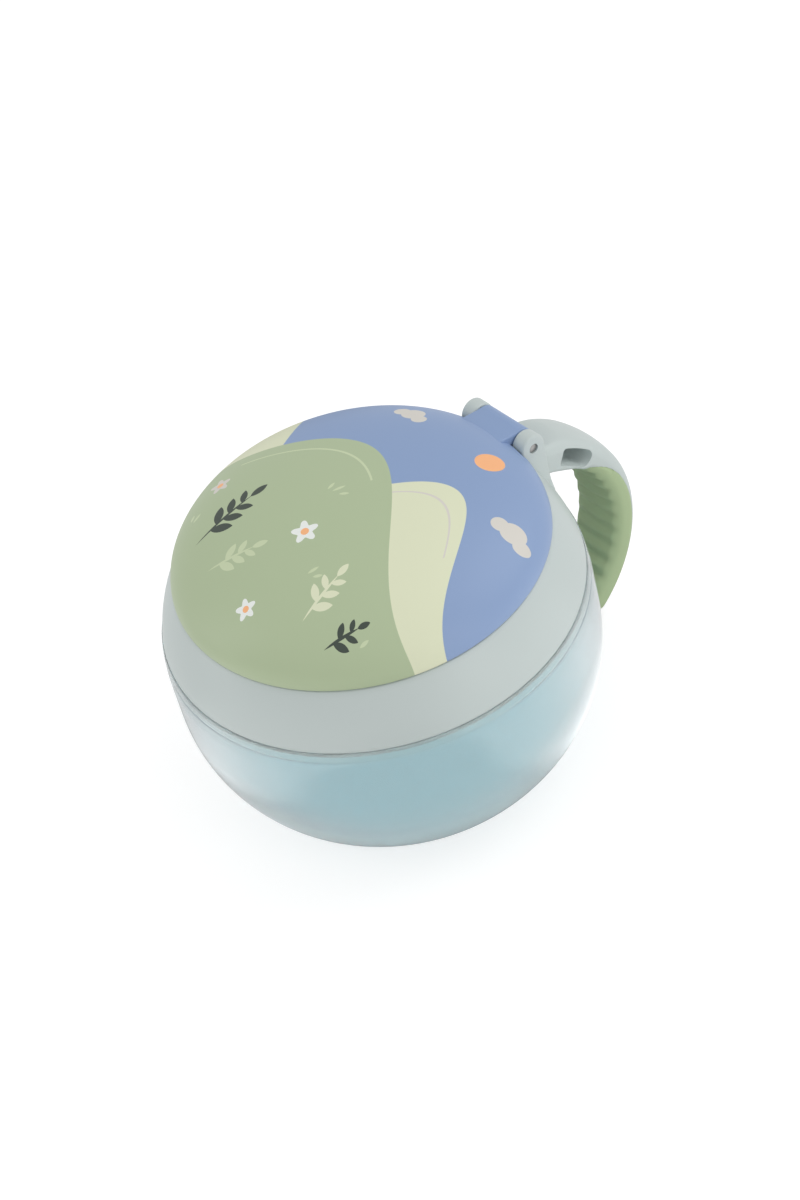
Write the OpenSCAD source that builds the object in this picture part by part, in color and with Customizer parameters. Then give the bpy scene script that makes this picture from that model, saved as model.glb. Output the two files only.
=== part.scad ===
// Toddler snack container: a round tub, a screw-on collar that carries an open
// C-shaped handle, a domed flip lid on a steel hinge pin, and a ring of soft
// flaps in the mouth. Millimetres, +Z up, origin at the centre of the base,
// hinge and handle at +Y.

/* [Tub] */
// Largest outside radius of the tub
tub_r = 53; // [51:0.5:55]
// Height at which the lower curve of the belly ends
belly_z = 35.5; // [34:0.5:37]
// Radius of the lower curve of the belly, seen from the side
belly_arc = 42; // [40:0.5:44]
// Height of the straight band round the widest part
band_h = 9.9; // [8:0.1:12]
// Radius of the curve from the band up over the collar, seen from the side
shoulder_arc = 38; // [36:0.5:40]
// Height of the shoulder above the band
shoulder_h = 6.8; // [6:0.1:8]
// Wall of the tub
tub_wall = 2; // [1.6:0.1:2.2]
// Thickness of the floor
floor_t = 2.2; // [1.8:0.1:3]
// Rounding under the foot
foot_round = 3; // [2:0.5:4]
// Height of the neck above the shoulder
neck_h = 8.2; // [7:0.1:9]
// Step from the widest part of the tub in to the neck
neck_step = 6.2; // [6:0.1:7]

/* [Collar] */
// Height of the seam between shoulder and collar
seam = 0.5; // [0.3:0.1:1]
// Step by which the collar lies inside the line of the shoulder
collar_step = 0.2; // [0:0.1:0.5]
// Room for the screw thread between neck and collar
thread_room = 1; // [0.8:0.1:1.2]
// Thickness of the neck gasket
gasket_t = 1.2; // [0.8:0.1:1.6]
// Thickness of the inner deck of the collar
deck_t = 2; // [1.6:0.1:2.4]
// Width of the inner deck, from the rim to the round mouth
deck_w = 5.55; // [5:0.05:6.5]
// Height of the rim above the deck
rim_h = 2.9; // [2.6:0.1:3.4]
// Thickness of the rim at its top
rim_t = 2.4; // [2:0.1:2.6]

/* [Lid] */
// Gap between the rim of the collar and the edge of the lid
lid_gap = 0.35; // [0.3:0.05:0.6]
// Wall of the lid
lid_wall = 1.8; // [1.5:0.1:2.2]
// Height of the dome above the edge of the lid
dome_h = 18.5; // [17:0.5:20]
// Thickness of the locating skirt under the lid
skirt_t = 1.6; // [1.2:0.1:1.8]
// Play between the locating skirt and the rim
skirt_gap = 0.5; // [0.4:0.05:0.6]
// Height of the snap bead on the skirt
bead = 0.2; // [0.1:0.05:0.25]

/* [Hinge] */
// Radius of the hinge pin
pin_r = 1.25; // [1:0.05:1.5]
// Running clearance of the pin in the lid
pin_fit = 0.05; // [0.02:0.01:0.1]
// Distance of the pin axis outside the edge of the lid
pin_out = 0.7; // [0.6:0.1:1]
// Height of the pin axis above the edge of the lid
pin_up = 4.05; // [3.9:0.05:4.4]
// Outside radius of ears and knuckle
ear_r = 3.8; // [3.4:0.1:3.9]
// Length of the knuckle on the lid
knuckle_w = 14.2; // [12:0.2:15]
// Thickness of each ear on the collar
ear_t = 4; // [3.5:0.1:5]
// Side play between knuckle and ear
ear_gap = 0.25; // [0.2:0.05:0.4]
// Room round each ear in the lid
notch_gap = 0.6; // [0.5:0.05:0.8]

/* [Handle] */
// Distance of the handle's centre inside the widest part of the tub
handle_set = 11.6; // [11:0.1:12.5]
// Outside radius of the handle
handle_r = 34.9; // [32:0.1:37]
// Gap between the top of the handle's circle and the knuckle of the lid
handle_drop = 0.9; // [0.7:0.1:1.5]
// Height of the underside of the free end
tip_low = 2.8; // [1.5:0.1:5]
// Thickness of the bar near the collar
bar_t = 7.6; // [7.2:0.1:8]
// Width of the bar
bar_w = 16; // [14:0.5:16.5]
// Rounding of the long edges
bar_round = 2.5; // [2:0.1:2.8]
// Angle of the middle of the strap slot
slot_angle = 51; // [50:0.5:52]
// Depth of the middle of the slot below the outside of the bar
slot_depth = 4.2; // [4:0.1:4.4]
// Length of the strap slot
slot_l = 10; // [8:0.2:11]
// Height of the strap slot
slot_h = 4.7; // [4.4:0.1:5]

/* [Grip] */
// Thickness of the bar where the soft grip covers it
grip_t = 6.2; // [5.8:0.1:6.6]
// Thickness of the hard spine at the free end of the grip
spine_t = 1.2; // [1:0.1:1.6]
// Power with which the spine thins towards the free end
spine_taper = 6.5; // [4:0.5:8]
// Width of the hard rib inside the grip
core_w = 8; // [6:0.5:10]
// Thickness of the grip over that rib
core_cover = 2; // [1.6:0.1:2.4]
// Number of finger ribs on the grip
ribs = 9; // [6:1:9]
// Distance from one finger rib to the next
rib_pitch = 4.5; // [4:0.1:4.6]
// Radius of each finger rib
rib_r = 1.5; // [1.2:0.1:1.8]
// Height of each finger rib
rib_h = 0.6; // [0.4:0.1:0.8]
// Length of each finger rib, across the handle
rib_w = 10; // [8:0.5:10.5]

/* [Flaps] */
// Width of the flap ring, from the mouth in to the bend lines
ring_w = 7; // [6.5:0.1:8]
// Thickness of a flap
flap_t = 1.3; // [1:0.1:1.5]
// Width of the slits between flaps
slit = 0.5; // [0.4:0.1:0.8]
// Play between the bend line of a flap and its ring
root_gap = 0.3; // [0.25:0.05:0.4]
// Width of the lips that hold the flap ring on the deck
lip_w = 2; // [1.5:0.1:2]

/* [Hidden] */
$fn = 96;

FLAPS = 6;                  // flaps in the mouth
seal_gap = 0.3;             // between a soft ring and what it seals against
edge = 0.6;                 // small rounded edges on the mouldings
past = 1;                   // how far a cutter runs past the face it cuts
steps = 14;                 // straight pieces in one curve of an outline

// heights, from the floor up
band_top = belly_z + band_h;
shoulder_z = band_top + shoulder_h;
neck_top = shoulder_z + neck_h;
collar_z = shoulder_z + seam;
deck_z = neck_top + gasket_t + 2 * seal_gap;
deck_top = deck_z + deck_t;
rim_z = deck_top + rim_h;
lid_z = rim_z + lid_gap;
flap_z = deck_z + deck_t / 2;

// centres of the two large curves, as [distance from the axis, height]
belly_c = [tub_r - belly_arc, belly_z];
shoulder_c = [tub_r - shoulder_arc, band_top];
collar_arc = shoulder_arc - collar_step;

// radii
foot_r = reach(belly_c, belly_arc, 0);
neck_r = tub_r - neck_step;
neck_in = neck_r - tub_wall;
thread_r = neck_r + thread_room;
rim_r = reach(shoulder_c, collar_arc, rim_z);
rim_in = rim_r - rim_t;
lid_r = rim_r + collar_step;
mouth_r = rim_in - deck_w;
flap_root = mouth_r - ring_w;
skirt_r = rim_in - skirt_gap;
skirt_in = skirt_r - skirt_t;
skirt_z = deck_top + lid_gap;

// the inside of the lid starts level with the top of its flange
web_z = lid_z + lid_wall;

// hinge
pin_y = lid_r + pin_out;
pin_z = lid_z + pin_up;
ear_in = knuckle_w / 2 + ear_gap;
ear_out = ear_in + ear_t;

// handle: angles are about its own centre, 0 pointing away from the tub
root_angle = 84;
handle_y = tub_r - handle_set;
handle_z = pin_z - ear_r - handle_drop - handle_r;
tip_sine = (handle_z - tip_low - grip_t / 2) / (handle_r - grip_t / 2);
tip_angle = asin(min(tip_sine, 0.86));
slot_r = handle_r - slot_depth;
slot_half = slot_l / 2 / slot_r * 180 / PI;
grip_top = slot_angle - slot_half - 2.5;

// flap ring
ring_hole = flap_root + flap_t / 2 + root_gap;
ring_fit = 0.05;
ring_wall = mouth_r - 1.3;

// distance from the axis of the circle with centre c and radius r, at height z
function reach(c, r, z) = c[0] + sqrt(r * r - pow(z - c[1], 2));
// angle at which that circle passes height z
function rise(c, r, z) = asin((z - c[1]) / r);
// points on a circle from angle a to angle b
function arc(c, r, a, b, n = steps) =
    [for (i = [0:n]) c + r * [cos(a + (b - a) * i / n), sin(a + (b - a) * i / n)]];
// points that round the corner q between p and s
function bend(p, q, s, n = 5) =
    [for (i = [0:n]) let (t = i / n) (1 - t) * (1 - t) * p + 2 * t * (1 - t) * q + t * t * s];
// points on a quarter of an oval with half axes a and b, from angle t0 to t1
function oval(a, b, t0, t1, n) =
    [for (i = [0:n]) let (t = t0 + (t1 - t0) * i / n) [a * cos(t), lid_z + b * sin(t)]];
// a point at angle a and radius r, seen from the handle's centre
function polar(r, a) = [r * cos(a), r * sin(a)];

// ---------------------------------------------------------------- tub
// Round tub with a flat foot, a wide belly and a plain neck for the collar.
module tub() {
    low_z = 2 * foot_round / 3;
    in_arc = belly_arc - tub_wall;
    in_top = shoulder_z - tub_wall;
    in_low = floor_t + foot_round;
    in_foot = reach(belly_c, in_arc, floor_t);
    lip = tub_wall / 3;
    outside = concat(
        bend([foot_r - foot_round, 0], [foot_r, 0], [reach(belly_c, belly_arc, low_z), low_z]),
        arc(belly_c, belly_arc, rise(belly_c, belly_arc, low_z + past), 0),
        arc(shoulder_c, shoulder_arc, 0, rise(shoulder_c, shoulder_arc, shoulder_z - edge), 5),
        bend([reach(shoulder_c, shoulder_arc, shoulder_z - edge / 2), shoulder_z - edge / 2],
             [reach(shoulder_c, shoulder_arc, shoulder_z), shoulder_z],
             [reach(shoulder_c, shoulder_arc, shoulder_z) - edge, shoulder_z], 3));
    neck = concat(
        bend([neck_r + edge, shoulder_z], [neck_r, shoulder_z], [neck_r, shoulder_z + edge], 3),
        bend([neck_r, neck_top - lip], [neck_r, neck_top], [neck_r - lip, neck_top], 3),
        bend([neck_in + lip, neck_top], [neck_in, neck_top], [neck_in, neck_top - lip], 3));
    inside = concat(
        bend([neck_in, in_top + tub_wall], [neck_in, in_top], [neck_in + tub_wall, in_top], 4),
        arc(shoulder_c, shoulder_arc - tub_wall,
            rise(shoulder_c, shoulder_arc - tub_wall, in_top), 0, 4),
        arc(belly_c, in_arc, 0, rise(belly_c, in_arc, in_low)),
        bend([reach(belly_c, in_arc, in_low - past), in_low - past], [in_foot, floor_t],
             [in_foot - foot_round, floor_t]));
    color([0.70, 0.84, 0.85])
        rotate_extrude()
            polygon(concat([[0, 0]], outside, neck, inside, [[0, floor_t]]));
}

// Flat silicone washer between the neck and the deck of the collar.
module neck_gasket() {
    color([0.86, 0.88, 0.86])
        rotate_extrude()
            translate([neck_in - seal_gap, neck_top + seal_gap])
                square([tub_wall + seal_gap + thread_room / 2, gasket_t]);
}

// ---------------------------------------------------------------- collar
// Outline of the collar: skirt over the neck, deck and rim.
module collar_outline() {
    groove_z = skirt_z + 2 * edge;
    polygon(concat(
        [[thread_r, collar_z], [reach(shoulder_c, collar_arc, collar_z) - edge, collar_z]],
        arc(shoulder_c, collar_arc, rise(shoulder_c, collar_arc, collar_z + edge / 2),
            rise(shoulder_c, collar_arc, rim_z - edge / 2), 16),
        [[rim_r - edge, rim_z], [rim_in + edge / 2, rim_z], [rim_in, rim_z - edge / 2],
         [rim_in, groove_z + edge], [rim_in + edge / 2, groove_z + edge / 2],
         [rim_in + edge / 2, groove_z - edge / 2], [rim_in, groove_z - edge],
         [rim_in, deck_top], [mouth_r, deck_top], [mouth_r, deck_z], [thread_r, deck_z]]));
}

// Solid inside the outer surface of the collar, used to seat the handle on it.
module collar_envelope() {
    rotate_extrude()
        polygon(concat([[0, collar_z - past]],
            arc(shoulder_c, collar_arc, rise(shoulder_c, collar_arc, collar_z - past),
                rise(shoulder_c, collar_arc, rim_z), 18), [[0, rim_z]]));
}

// Side view of an ear: a round eye on a leg that runs down the back of the collar.
module ear_outline(grow = 0) {
    translate([pin_y, pin_z])
        circle(r = ear_r + grow);
    polygon([[pin_y - ear_r * cos(25), pin_z - ear_r * sin(25)], [rim_in + 1, rim_z - edge],
             [thread_r - past, deck_z], [thread_r + 1, collar_z + 2 * edge],
             [pin_y + ear_r - 1, collar_z + 10 * edge],
             [pin_y + ear_r * cos(10), pin_z - ear_r * sin(10)]]);
}

// Turns a side view, drawn as [distance towards +Y, height], into a slab from x0 to x1.
module slab(x0, x1) {
    translate([x0, 0, 0])
        rotate([90, 0, 90])
            linear_extrude(x1 - x0)
                children();
}

// Cylinder along the hinge axis from x0 to x1.
module on_pin(r, x0, x1) {
    translate([x0, pin_y, pin_z])
        rotate([0, 90, 0])
            cylinder(r = r, h = x1 - x0);
}

// Screw collar with the two ears of the hinge.
module collar() {
    color([0.77, 0.82, 0.80])
        difference() {
            union() {
                rotate_extrude()
                    collar_outline();
                difference() {
                    union() {
                        slab(ear_in, ear_out) ear_outline();
                        slab(-ear_out, -ear_in) ear_outline();
                    }
                    cylinder(r = thread_r, h = deck_z);
                }
            }
            on_pin(pin_r, -ear_out - past, ear_out + past);
        }
}

// ---------------------------------------------------------------- handle
// Puts what is drawn about the handle's centre in its place.
module at_handle() {
    translate([0, handle_y, handle_z])
        rotate([90, 0, 90])
            children();
}

// Section of the bar with rounded edges: x is the radius, y the width.
module bar_section(outer, thick) {
    flat = bar_w / 2 - bar_round;
    far = outer - bar_round;
    near = outer - thick + bar_round;
    polygon(concat(
        arc([far, -flat], bar_round, -90, 0, 5), arc([far, flat], bar_round, 0, 90, 5),
        arc([near, flat], bar_round, 90, 180, 5), arc([near, -flat], bar_round, 180, 270, 5)));
}

// The bent bar from angle a to angle b, at one thickness.
module bar(a, b, thick) {
    rotate([0, 0, a])
        rotate_extrude(angle = b - a)
            bar_section(handle_r, thick);
}

// Side view of the zone that the soft grip fills. The spine behind it thins
// quickly from the full bar to a skin that runs out before the free end.
module grip_zone() {
    span = grip_top + tip_angle - 3;
    past_tip = tip_angle + 9;
    line = [for (i = [0:30]) let (u = 1 - i / 30)
        polar(handle_r - spine_t - (grip_t - spine_t) * pow(u, spine_taper),
              u * span - tip_angle + 3)];
    back = [for (i = [0:24])
        polar(handle_r - bar_t - rib_r, (grip_top + past_tip) * i / 24 - past_tip)];
    translate([0, 0, -bar_w])
        linear_extrude(2 * bar_w)
            polygon(concat(line, [polar(handle_r + spine_t, -tip_angle),
                polar(handle_r + spine_t, -past_tip)], back));
}

// Hard rib inside the grip, which ties it to the spine.
module core() {
    deep = grip_t - core_cover;
    rotate([0, 0, 4 - tip_angle])
        rotate_extrude(angle = tip_angle + grip_top - 2)
            translate([handle_r - deep, -core_w / 2])
                square([deep - spine_t / 2, core_w]);
}

// Rounded slot for a strap, cut through the width of the bar.
module strap_slot() {
    r = slot_h / 3;
    for (h = [0, 1]) {
        half = slot_half - h * r / slot_r * 180 / PI;
        tall = slot_h / 2 - (1 - h) * r;
        translate([0, 0, -bar_w])
            rotate([0, 0, slot_angle - half])
                rotate_extrude(angle = 2 * half)
                    translate([slot_r - tall, 0])
                        square([2 * tall, 2 * bar_w]);
    }
    turn = slot_half - r / slot_r * 180 / PI;
    for (x = [-1, 1], y = [-1, 1])
        translate(concat(polar(slot_r + y * (slot_h / 2 - r), slot_angle + x * turn), -bar_w))
            cylinder(r = r, h = 2 * bar_w);
}

// C-shaped handle: full bar near the collar, then a spine behind the grip.
module handle() {
    color([0.78, 0.83, 0.81])
        difference() {
            at_handle()
                difference() {
                    union() {
                        difference() {
                            bar(-tip_angle, root_angle, bar_t);
                            grip_zone();
                        }
                        core();
                    }
                    strap_slot();
                }
            collar_envelope();
            for (s = [-1, 1])
                slab(s * (ear_in + ear_t / 2) - ear_t / 2, s * (ear_in + ear_t / 2) + ear_t / 2)
                    ear_outline();
        }
}

// Soft grip moulded round the spine, with a round end and ribs for the fingers.
module handle_grip() {
    flat = bar_w / 2 - bar_round;
    turn = rib_pitch / (handle_r - grip_t) * 180 / PI;
    color([0.58, 0.68, 0.55])
        at_handle()
            difference() {
                union() {
                    intersection() {
                        union() {
                            bar(-tip_angle, grip_top, grip_t);
                            translate(concat(polar(handle_r - grip_t / 2, -tip_angle), -flat))
                                cylinder(r = grip_t / 2, h = 2 * flat);
                        }
                        grip_zone();
                    }
                    for (i = [1:ribs])
                        translate(concat(polar(handle_r - grip_t - rib_h + rib_r,
                                grip_top - i * turn), -rib_w / 2))
                            cylinder(r = rib_r, h = rib_w);
                }
                core();
            }
}

// Steel pin, pressed into the ears and running in the knuckle of the lid.
module hinge_pin() {
    color([0.62, 0.60, 0.57])
        on_pin(pin_r, edge - ear_out, ear_out - edge);
}

// ---------------------------------------------------------------- flaps
// Soft ring with two lips that grip the edge of the deck and a six-sided hole.
module flap_ring() {
    lip_t = 0.8;
    low = deck_z - ring_fit - lip_t;
    high = deck_top + ring_fit + lip_t;
    web = flap_t / 2 + 0.2;
    color([0.80, 0.86, 0.82])
        difference() {
            rotate_extrude()
                polygon([[flap_root - 2, flap_z - web], [ring_wall, flap_z - web], [ring_wall, low],
                         [mouth_r + lip_w, low], [mouth_r + lip_w, deck_z - ring_fit],
                         [mouth_r - ring_fit, deck_z - ring_fit],
                         [mouth_r - ring_fit, deck_top + ring_fit],
                         [mouth_r + lip_w, deck_top + ring_fit],
                         [mouth_r + lip_w - edge / 2, high], [ring_wall, high],
                         [ring_wall, flap_z + web], [flap_root - 2, flap_z + web]]);
            rotate([0, 0, 180 / FLAPS])
                translate([0, 0, deck_z - past])
                    cylinder(r = ring_hole / cos(180 / FLAPS), h = deck_t + 2 * past, $fn = FLAPS);
        }
}

// One flap: a pointed leaf with a round edge along its bend line.
module flap(i) {
    half = 180 / FLAPS;
    side = slit / 2 / cos(half);
    tip = 2.2;
    color([0.84, 0.89, 0.85])
        rotate([0, 0, i * 360 / FLAPS])
            translate([0, 0, flap_z]) {
                translate([0, 0, -flap_t / 2])
                    linear_extrude(flap_t)
                        polygon([[tip, side - tip * tan(half)], [flap_root, side - flap_root * tan(half)],
                                 [flap_root, flap_root * tan(half) - side], [tip, tip * tan(half) - side]]);
                translate([flap_root, flap_root * tan(half) - side, 0])
                    rotate([90, 0, 0])
                        cylinder(r = flap_t / 2, h = 2 * (flap_root * tan(half) - side), $fn = 32);
            }
}
module flap_1() { flap(0); }
module flap_2() { flap(1); }
module flap_3() { flap(2); }
module flap_4() { flap(3); }
module flap_5() { flap(4); }
module flap_6() { flap(5); }

// ---------------------------------------------------------------- lid
// Outline of the lid: oval dome, web with the groove for the seal, and the
// skirt that locates it inside the rim.
module lid_outline() {
    bead_z = skirt_z + 2 * edge;
    seal_in = skirt_r + edge;
    seal_out = lid_r - lid_wall / 2;
    seal_h = lid_wall / 2;
    hollow_r = lid_r - lid_wall;
    hollow_h = dome_h - lid_wall;
    low = asin((lid_wall + edge) / hollow_h);
    polygon(concat(
        [[lid_r - edge / 2, lid_z]],
        oval(lid_r, dome_h, 1.5, 90, 28),
        oval(hollow_r, hollow_h, 90, low, 22),
        [[skirt_in, web_z], [skirt_in, skirt_z + edge / 2], [skirt_in + edge / 2, skirt_z],
         [skirt_r - edge / 2, skirt_z], [skirt_r, skirt_z + edge / 2],
         [skirt_r, bead_z - edge / 2], [skirt_r + bead, bead_z], [skirt_r, bead_z + edge / 2],
         [skirt_r, lid_z], [seal_in, lid_z], [seal_in, lid_z + seal_h],
         [seal_out, lid_z + seal_h], [seal_out, lid_z]]));
}

// Flip lid with the middle knuckle of the hinge and room round both ears.
module lid() {
    w = knuckle_w / 2;
    color([0.56, 0.64, 0.80])
        difference() {
            union() {
                rotate_extrude()
                    lid_outline();
                on_pin(ear_r, -w, w);
                slab(-w, w)
                    polygon([[pin_y, pin_z + ear_r], [skirt_r - 2, pin_z + ear_r],
                             [skirt_r - edge, web_z - edge], [skirt_r - edge, pin_z - ear_r],
                             [pin_y, pin_z - ear_r]]);
            }
            for (s = [-1, 1]) {
                x0 = s > 0 ? w : -ear_out - notch_gap;
                x1 = s > 0 ? ear_out + notch_gap : -w;
                on_pin(ear_r + notch_gap, x0, x1);
                translate([x0, rim_in + edge / 2, lid_z - past])
                    cube([x1 - x0, 2 * ear_r, pin_z - lid_z + past]);
            }
            on_pin(pin_r + pin_fit, -w - past, w + past);
        }
}

// Silicone ring in the groove under the edge of the lid, open behind the hinge.
module lid_seal() {
    fit = 0.1;
    seal_in = skirt_r + edge + fit;
    seal_out = lid_r - lid_wall / 2 - fit;
    x = ear_out + notch_gap + edge;
    color([0.90, 0.91, 0.89])
        difference() {
            rotate_extrude()
                translate([seal_in, lid_z - fit / 2])
                    square([seal_out - seal_in, lid_wall / 2]);
            translate([-x, 0, lid_z - past])
                cube([2 * x, 2 * lid_r, 2 * past + lid_wall]);
        }
}

tub();
neck_gasket();
collar();
handle();
handle_grip();
hinge_pin();
flap_ring();
flap_1();
flap_2();
flap_3();
flap_4();
flap_5();
flap_6();
lid();
lid_seal();
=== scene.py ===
import math
import bpy
import numpy as np
from mathutils import Matrix, Vector


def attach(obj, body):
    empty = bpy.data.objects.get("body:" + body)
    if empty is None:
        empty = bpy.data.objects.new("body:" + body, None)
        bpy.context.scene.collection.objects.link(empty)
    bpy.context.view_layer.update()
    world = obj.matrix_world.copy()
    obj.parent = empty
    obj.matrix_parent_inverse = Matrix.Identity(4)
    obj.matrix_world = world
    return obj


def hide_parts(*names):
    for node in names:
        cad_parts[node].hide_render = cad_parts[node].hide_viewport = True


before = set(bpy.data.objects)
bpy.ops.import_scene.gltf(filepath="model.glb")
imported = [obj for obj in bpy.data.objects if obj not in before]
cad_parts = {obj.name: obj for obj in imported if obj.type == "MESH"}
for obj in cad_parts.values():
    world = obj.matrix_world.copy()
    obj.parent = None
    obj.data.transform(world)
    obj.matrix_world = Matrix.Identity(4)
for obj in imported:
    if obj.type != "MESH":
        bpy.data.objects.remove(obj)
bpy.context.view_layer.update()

# ------------------------------------------------------------------ tub
# The bowl that holds the snacks: clear plastic with a touch of aqua, moulded
# in one piece with its foot ring, its neck and the three ridges of a screw
# thread. Sizes are in millimetres, and moulded() turns them into metres.
MM = 0.001
BELLY_C, BELLY_R = (11.0, 35.5), 42.0        # centre as (distance from the axis, height)
SHOULDER_C, SHOULDER_R = (15.0, 45.4), 38.0
TUB_WALL, TUB_FLOOR = 2.0, 2.2
FOOT_IN, FOOT_OUT, FOOT_RISE, FOOT_TOP = 28.4, 33.2, 0.7, 2.0
GROOVE_Z = 50.0                              # fine groove under the rim, whose paler band is painted light
GROOVE = ((0.05, -0.12), (0.12, 0), (0.05, 0.12))  # (depth, height from the groove's middle)
SHOULDER_Z, NECK_TOP, NECK_R = 52.6, 60.4, 46.8
NECK_IN = NECK_R - TUB_WALL
THREAD_DEPTH, THREAD_LEAD, THREAD_STARTS = 0.75, 18, 3
NECK_THREAD = (55.2, 58.8)                   # heights of its lower and upper end
RIDGE = np.array([(-0.3, -0.95), (-0.3, 0.95), (1, 0.35), (1, -0.35)])  # (share of depth, height)
TURNS = 288                                  # points round a turned piece


def arc(centre, radius, start, end, count):
    """Points on a circle, centre + radius * (cos t, sin t), from one angle to another in degrees."""
    t = np.radians(np.linspace(start, end, count + 1))
    return (np.array(centre) + radius * np.stack([np.cos(t), np.sin(t)], 1)).tolist()


def reach(centre, radius, z):
    """Distance from the axis of a circle at height z: centre + sqrt(radius ^ 2 - rise ^ 2)."""
    return centre[0] + math.sqrt(radius ** 2 - (z - centre[1]) ** 2)


def climb(centre, radius, low, high, count):
    """The stretch of a circle between two heights, each at the angle asin(rise / radius)."""
    ends = [math.degrees(math.asin((z - centre[1]) / radius)) for z in (low, high)]
    return arc(centre, radius, *ends, count)


def corner(a, b, c, size, count=5):
    """Rounds the corner b between a and c: with p and q on its two sides, size away from b,
    the points (1 - t) ^ 2 * p + 2 * t * (1 - t) * b + t ^ 2 * q."""
    a, b, c = (np.array(point, float) for point in (a, b, c))
    p = b + (a - b) / np.linalg.norm(a - b) * size
    q = b + (c - b) / np.linalg.norm(c - b) * size
    t = np.linspace(0, 1, count + 1)[:, None]
    return ((1 - t) ** 2 * p + 2 * t * (1 - t) * b + t * t * q).tolist()


def moulded(name, verts, faces, sharp):
    """A closed piece in metres from points in millimetres, shaded smooth up to an angle."""
    mesh = bpy.data.meshes.new(name)
    mesh.from_pydata((np.asarray(verts) * MM).tolist(), [], faces)
    mesh.validate()
    mesh.shade_smooth()
    mesh.set_sharp_from_angle(angle=math.radians(sharp))
    obj = bpy.data.objects.new(name, mesh)
    bpy.context.scene.collection.objects.link(obj)
    return obj


def lathe(name, profile, sharp=35):
    """Turns an outline of (radius, height) points, counter-clockwise, about the vertical axis:
    x = r cos t, y = r sin t. A point on the axis becomes one pole."""
    r, z = np.array(profile, float).T
    t = np.linspace(0, 2 * math.pi, TURNS, endpoint=False)
    grid = np.stack([np.outer(r, np.cos(t)), np.outer(r, np.sin(t)), np.outer(z, np.ones(TURNS))], -1)
    pole = r < 1e-6
    kept = ~pole[:, None] | (np.arange(TURNS) == 0)
    count = np.where(pole, 1, TURNS)
    here = (np.cumsum(count) - count)[:, None] + np.where(pole[:, None], 0, np.arange(TURNS))
    there, next_pole = np.roll(here, -1, axis=0), np.roll(pole, -1)
    quads = np.stack([here, np.roll(here, -1, axis=1), np.roll(there, -1, axis=1), there], -1)
    faces = quads[~pole & ~next_pole].reshape(-1, 4).tolist()
    faces += quads[pole & ~next_pole][..., [0, 2, 3]].reshape(-1, 3).tolist()
    faces += quads[~pole & next_pole][..., [0, 1, 2]].reshape(-1, 3).tolist()
    return moulded(name, grid[kept], faces, sharp)


def skinned(name, rings, closed=False, sharp=35):
    """Joins each ring of points to the next with quads: the last to the first where closed is
    set, and flat caps on both ends otherwise. rings is an array of (rings, points, 3)."""
    rings = np.asarray(rings, float)
    index = np.arange(rings.shape[0] * rings.shape[1]).reshape(rings.shape[:2])
    here, there = (index, np.roll(index, -1, axis=0)) if closed else (index[:-1], index[1:])
    quads = np.stack([here, np.roll(here, -1, axis=1), np.roll(there, -1, axis=1), there], -1)
    faces = quads.reshape(-1, 4).tolist()
    if not closed:
        faces += [index[0, ::-1].tolist(), index[-1].tolist()]
    return moulded(name, rings.reshape(-1, 3), faces, sharp)


def thread(name, radius, low, high, outward=1):
    """One closed ridge per start: a flat-topped section on a helix, turn = height / lead, that
    is sunk a little into its wall and runs out at both ends. outward is 1 on the neck and -1
    inside the collar."""
    steps, run_out = 160, 12
    step = np.arange(steps)
    full = np.clip(np.minimum(step, steps - 1 - step) / run_out, 0.02, 1)[:, None]
    z = np.linspace(low, high, steps)[:, None]
    deep, wide = RIDGE[::outward].T
    r = radius + outward * THREAD_DEPTH * deep * np.where(deep > 0, full, 1)
    made = []
    for start in range(THREAD_STARTS):
        turn = 2 * math.pi * ((z - low) / THREAD_LEAD + start / THREAD_STARTS)
        rings = np.stack([r * np.cos(turn), r * np.sin(turn), z + wide * full], -1)
        made.append(skinned(f"{name}_{start + 1}", rings, sharp=25))
    return made


def linear(r, g, b):
    """A colour in 0 to 255 as the shader's linear values: ((v / 255 + 0.055) / 1.055) ^ 2.4."""
    return tuple(((v / 255 + 0.055) / 1.055) ** 2.4 for v in (r, g, b))


def material(name, colour, rough, **more):
    """A finish of one colour; more holds other inputs of the shader, with _ for each space."""
    mat = bpy.data.materials.new(name)
    mat.use_nodes = True
    shader = mat.node_tree.nodes["Principled BSDF"]
    shader.inputs["Base Color"].default_value = (*colour, 1)
    shader.inputs["Roughness"].default_value = rough
    for key, value in more.items():
        shader.inputs[key.replace("_", " ")].default_value = value
    return mat


def by_height(mat, *stops):
    """Colours a finish by height, mixed between (height, colour) stops, each at the place
    (height - lowest) / (highest - lowest) of a ramp."""
    tree = mat.node_tree
    where = tree.nodes.new("ShaderNodeTexCoord")
    split = tree.nodes.new("ShaderNodeSeparateXYZ")
    spot = tree.nodes.new("ShaderNodeMapRange")
    ramp = tree.nodes.new("ShaderNodeValToRGB")
    low, high = stops[0][0], stops[-1][0]
    spot.inputs["From Min"].default_value = low * MM
    spot.inputs["From Max"].default_value = high * MM
    while len(ramp.color_ramp.elements) < len(stops):
        ramp.color_ramp.elements.new(0.5)
    for element, (height, colour) in zip(ramp.color_ramp.elements, stops):
        element.position = (height - low) / (high - low)
        element.color = (*colour, 1)
    tree.links.new(where.outputs["Object"], split.inputs["Vector"])
    tree.links.new(split.outputs["Z"], spot.inputs["Value"])
    tree.links.new(spot.outputs[0], ramp.inputs["Fac"])
    tree.links.new(ramp.outputs["Color"], tree.nodes["Principled BSDF"].inputs["Base Color"])


def fit(body, slot, mat, *pieces):
    """Gives pieces their finish and lets them ride a body. The slot is not used."""
    for piece in pieces:
        piece.data.materials.clear()
        piece.data.materials.append(mat)
        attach(piece, body)


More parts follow.
